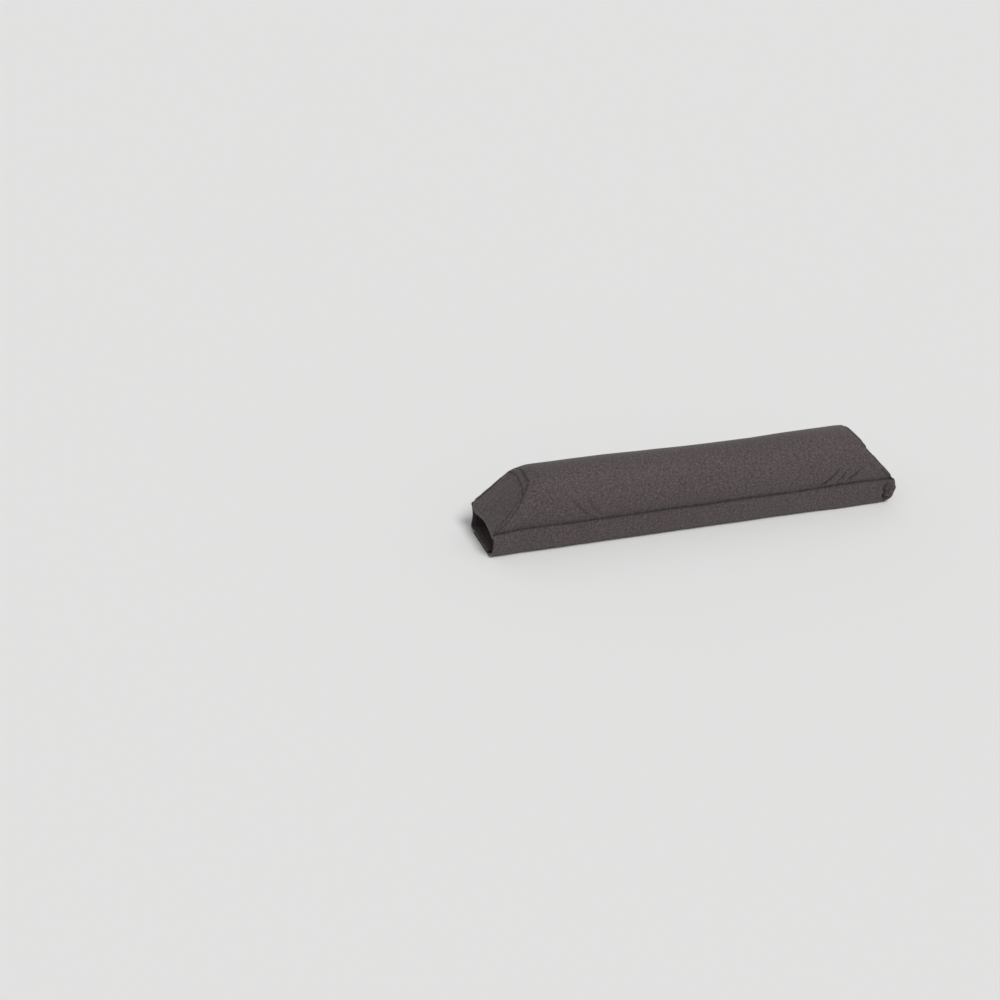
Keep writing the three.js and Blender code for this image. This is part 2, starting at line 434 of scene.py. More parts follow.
def panel_kinds(mesh):
    return listed(mesh.polygons, "material_index", 1, np.int32).ravel()


def flat_places(mesh):
    """The place of each square's corners on its panel's flat pattern."""
    return listed(mesh.uv_layers["cloth"].data, "uv", 2, np.float32).reshape(-1, 4, 2)


def place_points(mesh, points):
    mesh.vertices.foreach_set("co", np.asarray(points, dtype=np.float32).ravel())
    mesh.update()


def applied(obj, modifier):
    """Bakes the object's one modifier into its mesh."""
    evaluated = obj.evaluated_get(bpy.context.evaluated_depsgraph_get())
    old, obj.data = obj.data, bpy.data.meshes.new_from_object(evaluated)
    obj.modifiers.remove(modifier)
    bpy.data.meshes.remove(old)


def smoothed(obj, levels):
    modifier = obj.modifiers.new("smoothing", "SUBSURF")
    modifier.levels = levels
    modifier.render_levels = levels
    applied(obj, modifier)


def finished(obj, material, slot, *nodes):
    """Gives a piece its finish, hangs it on the root body and hides the imported nodes that it stands for."""
    obj.data.materials.clear()
    obj.data.materials.append(material)
    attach(obj, "root")
    if nodes:
        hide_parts(*nodes)
    return obj


# The pocket

COVER, BASE, LEFT_END, RIGHT_END = range(4)


def cover_section(sizes):
    """The cover's outer face as (y, z), from the front base seam over the crown to the rear one."""
    seam, belly, crown = (-SEAM_HALF, SEAM_Z), (-BELLY_HALF, BELLY_Z), (0, CROWN_Z)
    full = sizes.fullness
    side = bezier(seam, (-BELLY_HALF, SEAM_Z + 3 * MM), (-BELLY_HALF, BELLY_Z - 4 * MM), belly)
    shoulder_pull = (-BELLY_HALF, BELLY_Z + full * (CROWN_Z - BELLY_Z))
    shoulder = bezier(belly, shoulder_pull, (-full * BELLY_HALF, CROWN_Z), crown)
    half = np.concatenate([side, shoulder[1:]])
    return np.concatenate([half, half[-2::-1] * (-1, 1)])


def inset_section(sizes):
    """The cover's section where the pocket starts: even steps, a little inside its final face."""
    line = cover_section(sizes)
    steps = round(distances_along(line)[-1] / sizes.mesh_step) // 2 * 2
    cover = evenly(line, steps)
    middle = np.array([0, (SEAM_Z + CROWN_Z) / 2])
    outward = (cover - middle) / np.linalg.norm(cover - middle, axis=1)[:, None]
    share = np.linspace(0, 1, steps + 1)
    return cover - sizes.start_inset * np.sqrt(np.sin(np.pi * share).clip(0, 1))[:, None] * outward


def base_section():
    """The base panel's underside as (y, z), from the rear base seam round under the foam to the front one."""
    pulls = (SEAM_HALF - MM, SEAT_Z + 4 * MM), (SEAM_HALF - 4 * MM, SEAT_Z)
    curve = bezier((SEAM_HALF, SEAM_Z), *pulls, (SEAT_HALF, SEAT_Z))
    return np.concatenate([curve, curve[::-1] * (-1, 1)])


def end_reach(y, z):
    """How far from the middle the end panels lie, at a place in the section."""
    below = np.clip((SEAM_Z - z) / (SEAM_Z - SEAT_Z), 0, 1)
    bow = np.clip(1 - (y / SEAT_HALF) ** 2, 0, 1)
    return HALF_LENGTH - LEAN * np.maximum(z - SEAM_Z, 0) - below * (END_TUCK + END_BOW * bow) * MM


def coons(bottom, top, left, right):
    """A patch of points that fills four sides; left and right run from bottom to top."""
    across = np.linspace(0, 1, len(bottom))[None, :, None]
    up = np.linspace(0, 1, len(left))[:, None, None]
    rows = (1 - up) * bottom[None] + up * top[None]
    columns = (1 - across) * left[:, None] + across * right[:, None]
    lower = (1 - across) * bottom[0] + across * bottom[-1]
    upper = (1 - across) * top[0] + across * top[-1]
    return rows + columns - (1 - up) * lower - up * upper


def stations_along(sizes):
    """Places along the pocket from -1 to 1, close together near its ends."""
    fine = 12
    near = fine * sizes.mesh_step / HALF_LENGTH
    middle = 2 * round((1 - near) * HALF_LENGTH / sizes.middle_step)
    left = np.linspace(-1, near - 1, fine + 1)
    return np.concatenate([left[:-1], np.linspace(near - 1, 1 - near, middle + 1), -left[-2::-1]])


def end_uv(points):
    return np.stack([points[:, 1], points[:, 2] * math.hypot(1, LEAN)], axis=1)


def side_faces(x, index, cover, base):
    """The squares of the cover and the base, with their places on the flat patterns and their panels."""
    around = len(cover) - 1
    quads, uvs, kinds = [], [], []
    for j in range(index.shape[1]):
        k = (j + 1) % index.shape[1]
        line, low, kind = (cover, j, COVER) if j < around else (base, j - around, BASE)
        heights = np.repeat(distances_along(line)[low : low + 2], 2)
        corners = (x[:-1, j], x[1:, j], x[1:, k], x[:-1, k])
        places = [np.stack([end, np.full_like(end, height)], axis=1) for end, height in zip(corners, heights)]
        quads.append(np.stack([index[:-1, j], index[1:, j], index[1:, k], index[:-1, k]], axis=1))
        uvs.append(np.stack(places, axis=1))
        kinds.append(np.full(len(x) - 1, kind))
    return quads, uvs, kinds


def end_patch(points, loop, around, across):
    """The squares that close one end of the pocket, and the new points inside it."""
    side = (around - across) // 2
    bottom = np.concatenate([loop[around:], loop[:1]])[::-1]
    top = loop[side : side + across + 1]
    front = loop[: side + 1]
    rear = loop[side + across : around + 1][::-1]
    inner = coons(*(points[ids] for ids in (bottom, top, front, rear)))[1:-1, 1:-1]
    inner[:, :, 0] = np.sign(points[loop[0], 0]) * end_reach(inner[:, :, 1], inner[:, :, 2])
    grid = np.empty((side + 1, across + 1), dtype=int)
    grid[0], grid[-1], grid[:, 0], grid[:, -1] = bottom, top, front, rear
    grid[1:-1, 1:-1] = len(points) + np.arange(inner[:, :, 0].size).reshape(inner.shape[:2])
    return grid_faces(grid), inner.reshape(-1, 3)


def pocket_mesh(sizes):
    """The closed pocket as even squares, and the points that its seams and seat hold."""
    across = round(2 * SEAM_HALF / sizes.mesh_step) // 2 * 2
    cover = inset_section(sizes)
    around = len(cover) - 1
    base = evenly(base_section(), across)
    ring = np.concatenate([cover, base[1:-1]])
    x = stations_along(sizes)[:, None] * end_reach(*ring.T)[None, :]
    rings = [x, *(np.broadcast_to(values, x.shape) for values in ring.T)]
    points = np.stack(rings, axis=2).reshape(-1, 3)
    index = np.arange(len(points)).reshape(x.shape)

    quads, uvs, kinds = side_faces(x, index, cover, base)
    for loop, kind in ((index[0], LEFT_END), (index[-1], RIGHT_END)):
        faces, inner = end_patch(points, loop, around, across)
        if kind == LEFT_END:
            faces = faces[:, ::-1]
        points = np.concatenate([points, inner])
        quads.append(faces)
        uvs.append(end_uv(points[faces.ravel()]).reshape(-1, 4, 2))
        kinds.append(np.full(len(faces), kind))

    held = np.unique(np.concatenate([index[:, 0], index[:, around:].ravel(), index[0], index[-1]]))
    pocket = mesh_object("pocket", points, *(np.concatenate(lists) for lists in (quads, uvs, kinds)))
    return pocket, held


def inflate(obj, held, sizes):
    """Blows the pocket up against its held points, and caps how far each point moves."""
    frames = 20
    start = points_of(obj.data)
    group = obj.vertex_groups.new(name="held")
    group.add([int(i) for i in held], 1, "REPLACE")
    cloth = obj.modifiers.new("inflation", "CLOTH")
    settings = cloth.settings
    settings.quality = 6
    settings.mass = 0.3
    settings.tension_stiffness = 5
    settings.compression_stiffness = 5
    settings.shear_stiffness = 3
    settings.bending_stiffness = 0.4
    settings.use_pressure = True
    settings.uniform_pressure_force = sizes.pressure
    settings.vertex_group_mass = "held"
    settings.effector_weights.gravity = 0
    scene = bpy.context.scene
    for number in range(1, frames + 1):
        scene.frame_set(number)
    shaped = points_of(obj.evaluated_get(bpy.context.evaluated_depsgraph_get()).data)
    moved = shaped - start
    length = np.linalg.norm(moved, axis=1).clip(1e-9)
    kept = moved * np.minimum(1, sizes.swell_cap / length)[:, None]
    print("inflation: mean", round(length.mean() / MM, 2), "mm, most", round(length.max() / MM, 2), "mm")
    obj.modifiers.remove(cloth)
    obj.vertex_groups.remove(group)
    scene.frame_set(1)
    place_points(obj.data, start + kept)


def settled(points):
    """Every piece near the base seams rises and falls with them."""
    x, y, z = points.T
    up = smooth_step((z - SEAT_Z + CARRY_BELOW) / (SEAM_Z - SEAT_Z + CARRY_BELOW))
    down = 1 - smooth_step((z - SEAM_Z) / CARRY_ABOVE)
    front = smooth_step(-y / CARRY_IN) * wander(x, FRONT_SEAM_WANDER)
    rear = smooth_step(y / CARRY_IN) * wander(x, REAR_SEAM_WANDER)
    return points + np.stack([np.zeros_like(x), np.zeros_like(x), up * down * (front + rear)], axis=1)


def around_middle(y, z):
    """Angle from straight up, towards the rear, and distance from the middle of the end panels."""
    side, height = y - OUTLINE_MIDDLE[0] * MM, z - OUTLINE_MIDDLE[1] * MM
    return np.arctan2(side, height), np.hypot(side, height)


def left_fit(y, z, sizes):
    """How much wider or narrower the left end is sewn than the section, in each direction from its middle."""
    turns = np.linspace(-2, 2, 161)
    lines = (np.array(LEFT_OUTLINE) * MM, inset_section(sizes))
    sewn, even = (np.interp(turns, *around_middle(*line.T)) for line in lines)
    neighbours = 6
    weights = np.hanning(2 * neighbours + 3)[1:-1]
    share = np.convolve(np.pad(sewn / even, neighbours, mode="edge"), weights / weights.sum(), mode="valid")
    return np.interp(around_middle(y, z)[0], turns, share)


def drawn_ends(points, sizes):
    """The end seams draw the cover in round its crown: the left as its outline says, the right evenly.

    At the right, the crown's corner is pushed out instead, where the foam stands up against the seam.
    """
    seam_reach, drawn_share, corner_push = 8 * MM, 0.03, 3.2 * MM
    x, y, z = points.T
    from_end = (HALF_LENGTH - LEAN * np.maximum(z - SEAM_Z, 0) - np.abs(x)).clip(0)
    near = smooth_step((z - SEAM_Z - MM) / (14 * MM)) * np.exp(-((from_end / seam_reach) ** 1.3))
    even = 1 - drawn_share * smooth_step((z - SEAM_Z - 10 * MM) / (40 * MM))
    corner = (x > 0) * smooth_step((z - 84 * MM) / (17 * MM))
    growth = near * (np.where(x < 0, left_fit(y, z, sizes), even + drawn_share * corner) - 1)
    out_y, out_z = growth * (y - OUTLINE_MIDDLE[0] * MM), growth * (z - OUTLINE_MIDDLE[1] * MM)
    out_x = corner_push * near * corner - np.sign(x) * LEAN * out_z
    return points + np.stack([out_x, out_y, out_z], axis=1)


def fold_relief(points, folds, sizes):
    """Short curved folds that fade at their ends, and the painted shade in each fold's valley.

    Each is a valley that narrows upwards, with soft ridges beside it.
    """
    x, z = points[:, 0], points[:, 2]
    relief, dark = np.zeros(len(points)), np.zeros(len(points))
    for start, stop, depth in folds:
        a, b = np.array(start) * MM, np.array(stop) * MM
        run = b - a
        offset = np.stack([x - a[0], z - a[1]], axis=1)
        along = (offset @ run) / (run @ run)
        sideways = (offset @ np.array([-run[1], run[0]])) / np.linalg.norm(run)
        sideways += 0.6 * MM * np.sin(np.pi * along.clip(-0.3, 1.3))
        width = sizes.fold_width * (1.2 - 0.45 * along.clip(0, 1))
        fade = smooth_step((along + 0.35) / 0.6) * smooth_step((1.35 - along) / 0.7)
        ridges = 0.55 * bump(sideways - 2.1 * width, 1.5 * width)
        ridges += 0.3 * bump(sideways + 2.3 * width, 1.6 * width)
        relief += depth * MM * fade * (ridges - bump(sideways, width))
        # Painted shade along the valley of each deeper fold.
        dark = np.maximum(dark, max(depth - 0.9, 0) * fade * bump(sideways, 0.95 * width))
    return relief, dark


def pucker_relief(points):
    """Small deep dents, and the painted shade in each."""
    relief, dark = np.zeros(len(points)), np.zeros(len(points))
    for place, depth, width in PUCKERS:
        distance = np.linalg.norm(points - np.array(place) * MM, axis=1)
        relief -= depth * MM * bump(distance, width * MM)
        # Painted shade in the middle of each dent.
        dark = np.maximum(dark, 0.3 * depth * bump(distance, 0.7 * width * MM))
    return relief, dark


def base_gathers(x, z, from_base, seed):
    """Small gathers where the cover is drawn in at its base seams."""
    gathers = soft_noise(np.stack([x, 0.3 * z], axis=1), 7 * MM, seed)
    gathers += 0.8 * soft_noise(np.stack([x - 0.7 * z, 0.3 * z], axis=1), 16 * MM, seed + 1)
    reach = (10 + 6 * soft_noise(x, 40 * MM, seed + 6)) * MM
    return 0.7 * MM * gathers * np.exp(-from_base / reach) * smooth_step(from_base / (2 * MM))


def cover_relief(points, flat, sizes):
    """Height of the seams, gathers and folds over the cover's smooth face, and the painted shade in each
    crease.
    """
    x, y, z = points.T
    section = inset_section(sizes)
    along = distances_along(section)
    from_end = (np.interp(flat[:, 1], along, end_reach(*section.T)) - np.abs(flat[:, 0])).clip(0)
    from_base = np.minimum(flat[:, 1], along[-1] - flat[:, 1])
    seed = sizes.seed
    inside = smooth_step(from_end / (6 * MM)) * smooth_step(from_base / (6 * MM))

    relief = -sizes.seam_depth * bump(np.minimum(from_end, from_base), sizes.seam_width)
    relief -= 2 * MM * bump(from_base, 8 * MM) * smooth_step(from_base / (2.5 * MM))
    relief += base_gathers(x, z, from_base, seed + 2)
    end_gathers = soft_noise(np.stack([flat[:, 1], 0.3 * x], axis=1), 7 * MM, seed + 1)
    relief += 0.55 * MM * end_gathers * np.exp(-from_end / (7 * MM)) * smooth_step(from_end / (2 * MM))

    side = smooth_step((np.abs(y) - 16 * MM) / (22 * MM))
    broad = 0.8 * soft_noise(np.stack([x - 0.5 * z, 0.8 * z, y], axis=1), 58 * MM, seed + 4)
    broad += 0.34 * soft_noise(np.stack([x - 0.8 * z, 0.5 * z, y], axis=1), 24 * MM, seed + 5)
    relief += inside * MM * broad * (0.25 + 0.75 * side)
    on_crown = smooth_step((z - 78 * MM) / (22 * MM))
    relief += on_crown * wander(x, CROWN_WANDER) * smooth_step(from_end / (14 * MM))

    # Painted shade: dark lines along the end and base seams, and a wider band of painted shade above the base
    # seam, where the cover turns under.
    seam_shade_strength = 0.8 + 0.4 * soft_noise(np.stack([x, z], axis=1), 9 * MM, seed + 9)
    end_dark = 1.15 * seam_shade_strength * bump(from_end, 1.8 * MM)
    base_dark = 0.8 * seam_shade_strength * bump(from_base, 1.8 * MM) + 0.16 * bump(from_base, 12 * MM)
    dark = np.maximum(end_dark, base_dark)
    # Painted shade in the valleys of the folds, kept off the seams.
    off_seam = smooth_step(from_end / (6 * MM)) * smooth_step(from_base / (2.5 * MM))
    for chosen, folds in ((y < 0, FRONT_FOLDS), (y > 0, REAR_FOLDS)):
        folded, shaded = fold_relief(points, folds, sizes)
        relief += inside * chosen * folded
        dark = np.maximum(dark, off_seam * chosen * shaded)
    puckered, shaded = pucker_relief(points)
    return relief + puckered, np.maximum(dark, shaded)


def band_edge(y, z, sizes):
    """How far inside the end seam its stitches run: they close up at the shoulders and open out above."""
    shoulder = np.hypot(np.abs(y) - PINCH_PLACE[0], z - PINCH_PLACE[1])
    opened = smooth_step((z - SEAM_Z) / (10 * MM))
    widened = 1.2 * MM * smooth_step((z - 88 * MM) / (8 * MM))
    return opened * (sizes.band_width + widened - PINCH * bump(shoulder, PINCH_REACH))


def end_relief(points, flat, sizes):
    """Height of an end panel's seam, band, stitched crease and ripples, and the painted shade in each crease.
    """
    y, z = flat[:, 0], flat[:, 1] / math.hypot(1, LEAN)
    within = distance_to_line(np.stack([y, z], axis=1), inset_section(sizes))
    edge = within - band_edge(y, z, sizes)
    above = smooth_step((z - SEAM_Z) / (5 * MM))
    seed = sizes.seed + (40 if points[:, 0].mean() < 0 else 50)
    lumps = 1 + 0.35 * soft_noise(np.stack([y, z], axis=1), 11 * MM, seed)
    relief = -sizes.seam_depth * bump(within, sizes.seam_width)
    on_band = smooth_step(-edge / (1.2 * MM)) * smooth_step(within / (3 * MM))
    relief += above * sizes.band_height * lumps * on_band
    relief -= above * 1.1 * MM * bump(edge, 1.0 * MM)
    ripples = soft_noise(np.stack([y, 0.22 * z], axis=1), 8 * MM, seed + 1)
    ripples += 0.8 * soft_noise(np.stack([y + 0.6 * z, 0.3 * z], axis=1), 19 * MM, seed + 2)
    relief += 0.6 * MM * ripples * smooth_step(edge / (7 * MM)) * smooth_step((z - SEAT_Z) / (20 * MM))

    # Painted shade along the end seam, along the stitched crease and in the puckers.
    seam_dark = 0.95 * bump(within, 1.3 * MM)
    stitched_shade_strength = 0.65 + 0.25 * soft_noise(np.stack([y, z], axis=1), 10 * MM, seed + 3)
    stitched_dark = above * stitched_shade_strength * bump(edge, 0.9 * MM)
    puckered, shaded = pucker_relief(points)
    return relief + above * puckered, np.maximum.reduce([seam_dark, stitched_dark, above * shaded])


def base_relief(points, flat, sizes):
    """The base lies flat over the sleeve, and only its rim is drawn in at the seams, with painted shade where
    it is drawn in.
    """
    x, y, z = points.T
    from_seat = smooth_step((z - SEAT_Z - MM) / (6 * MM))
    drawn_in = bump(SEAM_Z - z, 2 * sizes.seam_width) * from_seat
    return -sizes.seam_depth * drawn_in, 0.7 * drawn_in


PANELS = (
    ("cover_cloth", "top_cover", cover_relief),
    ("base_cloth", "base_panel", base_relief),
    ("left_end_cloth", "end_panel_left", end_relief),
    ("right_end_cloth", "end_panel_right", end_relief),
)


def flat_pattern(mesh, kind):
    """The vertices of one panel, and the place of each on its flat pattern."""
    chosen = panel_kinds(mesh) == kind
    used, first = np.unique(quads_of(mesh)[chosen], return_index=True)
    return used, flat_places(mesh)[chosen].reshape(-1, 2)[first]


def store_painted_shade(mesh, depth):
    """Stores the painted shade of each point's seams, folds and hollows, from 0 to 1, which darkens the
    cloth's colour.
    """
    layer = mesh.attributes.new("crease", "FLOAT", "POINT")
    layer.data.foreach_set("value", depth.clip(0, 1).astype(np.float32))


def work_in_seams(mesh, sizes):
    """Moves each point by its panels' relief; a point on a seam takes the mean of both."""
    points, normals = points_of(mesh), normals_of(mesh)
    relief, dark, share = np.zeros((3, len(points)))
    for kind, (_, _, panel_relief) in enumerate(PANELS):
        used, flat = flat_pattern(mesh, kind)
        raised, shaded = panel_relief(points[used], flat, sizes)
        relief[used] += raised
        # Painted shade from each panel; a point on a seam keeps the darker.
        dark[used] = np.maximum(dark[used], shaded)
        share[used] += 1
    relief /= share
    place_points(mesh, settled(drawn_ends(points + relief[:, None] * normals, sizes)))
    store_painted_shade(mesh, dark)


def crease_seams(mesh):
    """Keeps the edges between two panels sharp when the mesh is smoothed."""
    kinds = np.repeat(panel_kinds(mesh), 4)
    edges = listed(mesh.loops, "edge_index", 1, np.int32).ravel()
    low = np.full(len(mesh.edges), len(PANELS))
    high = np.full(len(mesh.edges), -1)
    np.minimum.at(low, edges, kinds)
    np.maximum.at(high, edges, kinds)
    crease = mesh.attributes.new("crease_edge", "FLOAT", "EDGE")
    crease.data.foreach_set("value", (low != high).astype(np.float32))


def panel_object(name, mesh, kind):
    """One panel of the pocket, cut out along its seams."""
    chosen = panel_kinds(mesh) == kind
    used, faces = np.unique(quads_of(mesh)[chosen], return_inverse=True)
    panel = mesh_object(name, points_of(mesh)[used], faces.reshape(-1, 4), flat_places(mesh)[chosen])
    # The painted crease shade goes with the panel's points.
    depth = listed(mesh.attributes["crease"].data, "value", 1, np.float32).ravel()
    store_painted_shade(panel.data, depth[used])
    return panel


def foam_object(pocket, sizes):
    """The foam block: the pocket's own form, a little smaller, and more so at its corners."""
    mesh = pocket.data
    points = points_of(mesh)
    x, y, z = points.T
    from_end = (end_reach(y, z) - np.abs(x)).clip(0)
    corner = bump(from_end, 14 * MM) * bump(z - SEAM_Z, 14 * MM)
    end = bump(from_end, 10 * MM)
    inner = points - (sizes.foam_gap * (1 + 0.3 * end + 1.6 * corner))[:, None] * normals_of(mesh)
    foam = mesh_object("foam_block", inner, quads_of(mesh))
    smoothed(foam, 1)
    place_points(foam.data, settled(drawn_ends(points_of(foam.data), sizes)))
    return foam


def end_stitch_path(sizes, side):
    """Guide points for the stitches along an end panel's allowance band, from front to rear."""
    section = inset_section(sizes)
    section = section[section[:, 1] > SEAM_Z + 6 * MM]
    middle = np.array([0, 62 * MM])
    shares = np.linspace(0, 0.6, 241)[None, :, None]
    rays = section[:, None] + (middle - section[:, None]) * shares
    flat = rays.reshape(-1, 2)
    gap = distance_to_line(flat, inset_section(sizes)) - band_edge(*flat.T, sizes)
    nearest = np.abs(gap).reshape(len(section), -1).argmin(axis=1)
    line = rays[np.arange(len(section)), nearest]
    x = side * (end_reach(*line.T) + 4 * MM)
    return drawn_ends(np.stack([x, line[:, 0], line[:, 1]], axis=1), sizes)


class PAD_OT_pocket(Operator):
    """Sew the pocket round its foam block: the cover, the two ends, the base and the end stitching"""

    bl_idname = "rack_pad.pocket"
    bl_label = "Pocket and Foam"

    def execute(self, context):
        sizes = context.scene.pad_sizes
        pocket, held = pocket_mesh(sizes)
        inflate(pocket, held, sizes)
        foam = foam_object(pocket, sizes)
        finished(foam, foam_material(), "foam", "foam_core")
        crease_seams(pocket.data)
        smoothed(pocket, 2)
        work_in_seams(pocket.data, sizes)
        for kind, (name, node, _) in enumerate(PANELS):
            panel = finished(panel_object(name, pocket.data, kind), cloth_material(), "cover_cloth", node)
            if kind in (LEFT_END, RIGHT_END):
                side = -1 if kind == LEFT_END else 1
                thread = thread_object(f"{name}_thread", panel, [end_stitch_path(sizes, side)], sizes)
                finished(thread, thread_material(), "cover_cloth")
        bpy.data.objects.remove(pocket)
        return {"FINISHED"}


# The flaps

def flap_line(sizes, side):
    """A flap's centreline as (y, z) for the front side, from its seam down and under to its free edge."""
    half = sizes.cloth / 2
    top = -(FLAP_HALF - half)
    foot = SLEEVE_FRONT - 3.4 * half
    run_z = REAR_RUN_Z + half
    turn = 1.5 * MM
    radius = sizes.corner_radius
    start = [(top + 2.4 * turn, SEAM_Z - 0.4 * MM)]
    shoulder = arc((top + turn, SEAM_Z - 0.5 * MM - turn), turn, 90, 180)
    corner = arc((foot + radius, run_z + radius), radius, 180, 270)
    if side == "front":
        landing = (-FREE_EDGE, FRONT_LOW[2] + half + 0.25 * MM)
        middle = (foot + radius - FREE_EDGE) / 2
        run = bezier(corner[-1], (middle, run_z), (middle, landing[1]), landing)[1:]
        last = [(FREE_EDGE, landing[1])]
    else:
        run = np.empty((0, 2))
        last = [(FREE_EDGE, run_z)]
    return np.concatenate([start, shoulder, corner, run, last])


def crumpled_end(x, z, sizes):
    """Relief of the front flap's right end, puffed up behind a curved crease, and the painted shade in its
    creases and hollows.
    """
    place = np.stack([x, z], axis=1)
    (middle_x, middle_z), (half_x, half_z) = CRUMPLE_PLACE, CRUMPLE_SIZE
    across = (x - middle_x * MM) / (half_x * MM) + 0.3 * soft_noise(place, 9 * MM, sizes.seed + 10)
    up = (z - middle_z * MM) / (half_z * MM) + 0.22 * soft_noise(place, 8 * MM, sizes.seed + 13)
    ring, turn = np.hypot(across, up), np.arctan2(up, -across)
    left = smooth_step((np.cos(turn + 0.25) + 0.2) / 0.8)
    crease = left * bump(ring - 1, 0.2)
    inner = smooth_step((np.cos(turn - 0.5) - 0.1) / 0.6) * bump(ring - 0.5, 0.13)
    puff = 3.2 * smooth_step((1.05 - ring) / 0.75) + 1.2 * left * bump(ring - 1.5, 0.3)
    near = smooth_step((x - 270 * MM) / (14 * MM))
    crumple = soft_noise(np.stack([x + 0.7 * z, 0.6 * z], axis=1), 5 * MM, sizes.seed + 11)
    crumple += 0.7 * soft_noise(place, 3.4 * MM, sizes.seed + 12)
    off_fold = smooth_step((z - 5 * MM) / (9 * MM))
    relief = MM * off_fold * (puff - 3 * crease - 1.5 * inner + 1.4 * near * crumple)
    # Painted shade in the hollows of the crumpled cloth.
    hollows = near * (-0.9 * crumple - 0.1).clip(0, 0.8)
    return relief, np.maximum.reduce([0.9 * crease, 0.75 * inner, hollows])


def flap_end_shift(x, y, z, side):
    """How far along X a flap's end edges stray from a straight cut."""
    height = np.clip((z - REAR_RUN_Z) / (SEAM_Z - REAR_RUN_Z), 0, 1)
    wall = smooth_step((-y - 34 * MM) / (4 * MM))
    near_left = smooth_step((-x - 250 * MM) / (50 * MM))
    near_right = smooth_step((x - 250 * MM) / (50 * MM))
    bowed = 2.6 * MM * np.sin(np.pi * height)
    if side == "front":
        corner = -1.5 * MM * smooth_step((8 * MM - z) / (5 * MM))
        right = 5.5 * MM * np.sin(np.pi * height) ** 0.6 + corner
    else:
        right = -bowed
    return wall * (near_left * bowed + near_right * right)


def flap_grid(sizes, side):
    """The flap's middle surface as rows along X, the lengths along its line, and the painted shade in its
    creases.
    """
    line = flap_line(sizes, side)
    steps = round(distances_along(line)[-1] / sizes.flap_step)
    section = evenly(line, steps)
    stations = round(2 * HALF_LENGTH / sizes.flap_step)
    x = np.repeat(np.linspace(-HALF_LENGTH, HALF_LENGTH, stations + 1), steps + 1)
    y = np.tile(section[:, 0], stations + 1)
    z = np.tile(section[:, 1], stations + 1)
    seed = sizes.seed + (20 if side == "front" else 30)
    wall = smooth_step((-y - 36 * MM) / (3 * MM)) * smooth_step((SEAM_Z - z) / (4 * MM))
    waves = 0.55 * soft_noise(np.stack([x, 0.5 * z], axis=1), 46 * MM, seed)
    waves += 0.22 * soft_noise(np.stack([x, 0.3 * z], axis=1), 13 * MM, seed + 1)
    gathers = soft_noise(np.stack([x, 0.2 * z], axis=1), 6 * MM, seed + 2) * np.exp((z - SEAM_Z) / (7 * MM))
    outward = MM * (waves + 0.3 * gathers)
    # Painted shade in the hollows of the waves on the flap's wall.
    depth = (-0.4 * outward / MM - 0.1).clip(0) * wall
    slack = SAG[side] * bump(x - SAG_PLACE, SAG_REACH)
    sag = smooth_step((-y - 30 * MM) / (8 * MM)) * slack * smooth_step((16 * MM - z) / (10 * MM))
    if side == "front":
        crumpled, shaded = crumpled_end(x, z, sizes)
        outward = outward + crumpled
        depth = np.maximum(depth, shaded * wall)
        curl = 3.6 * MM * smooth_step((x - 292 * MM) / (12 * MM)) ** 2
    else:
        curl = 0
    # Painted shade along the top edge of the flap, under the base seam.
    depth = np.maximum(depth, 0.75 * bump(z - SEAM_Z, 1.6 * MM))
    strayed = x + flap_end_shift(x, y, z, side)
    points = np.stack([strayed, y - wall * (outward - curl), z - sag], axis=1)
    if side == "rear":
        points[:, :2] *= -1
    points = settled(points)
    return points.reshape(stations + 1, steps + 1, 3), distances_along(section), depth


def grid_normals(grid):
    along = np.gradient(grid, axis=0)
    across = np.gradient(grid, axis=1)
    normal = np.cross(along, across)
    return normal / np.linalg.norm(normal, axis=2, keepdims=True).clip(1e-12)


def layers_of(grid, along, sizes):
    """The flap's two faces, with the doubled cloth of its end hems on the inner one."""
    normal = -grid_normals(grid)
    from_end = HALF_LENGTH - np.abs(grid[:, :, 0])
    below_seam = smooth_step((along - HEM_TOP) / (2 * MM))
    hem = smooth_step((sizes.hem_width - from_end) / (0.8 * MM)) * below_seam[None]
    outer = grid + 0.5 * sizes.cloth * normal
    inner = grid - (0.5 + hem[:, :, None]) * sizes.cloth * normal
    return outer, inner


def flap_object(name, sizes, side):
    """A flap as a closed sheet, with the points of its outer face and the lengths along its line."""
    grid, along, depth = flap_grid(sizes, side)
    outer, inner = layers_of(grid, along, sizes)
    rows, columns = grid.shape[:2]
    top = np.arange(rows * columns).reshape(rows, columns)
    under = top + rows * columns

    def strip(a, b):
        return np.stack([a[1:], b[1:], b[:-1], a[:-1]], axis=1)

    rims = [
        strip(under[0], top[0]),
        strip(top[-1], under[-1]),
        strip(top[:, 0], under[:, 0]),
        strip(under[:, -1], top[:, -1]),
    ]
    under_faces = np.roll(grid_faces(under)[:, ::-1], 1, axis=1)
    faces = np.concatenate([grid_faces(top), under_faces, *rims])
    flat_uv = np.stack([grid[:, :, 0], np.broadcast_to(along, (rows, columns))], axis=2).reshape(-1, 2)
    uvs = np.concatenate([flat_uv, flat_uv])[faces]
    points = np.concatenate([outer.reshape(-1, 3), inner.reshape(-1, 3)])
    flap = mesh_object(name, points, faces, uvs)
    store_painted_shade(flap.data, np.concatenate([depth, depth]))
    return flap, outer, along


# Stitching

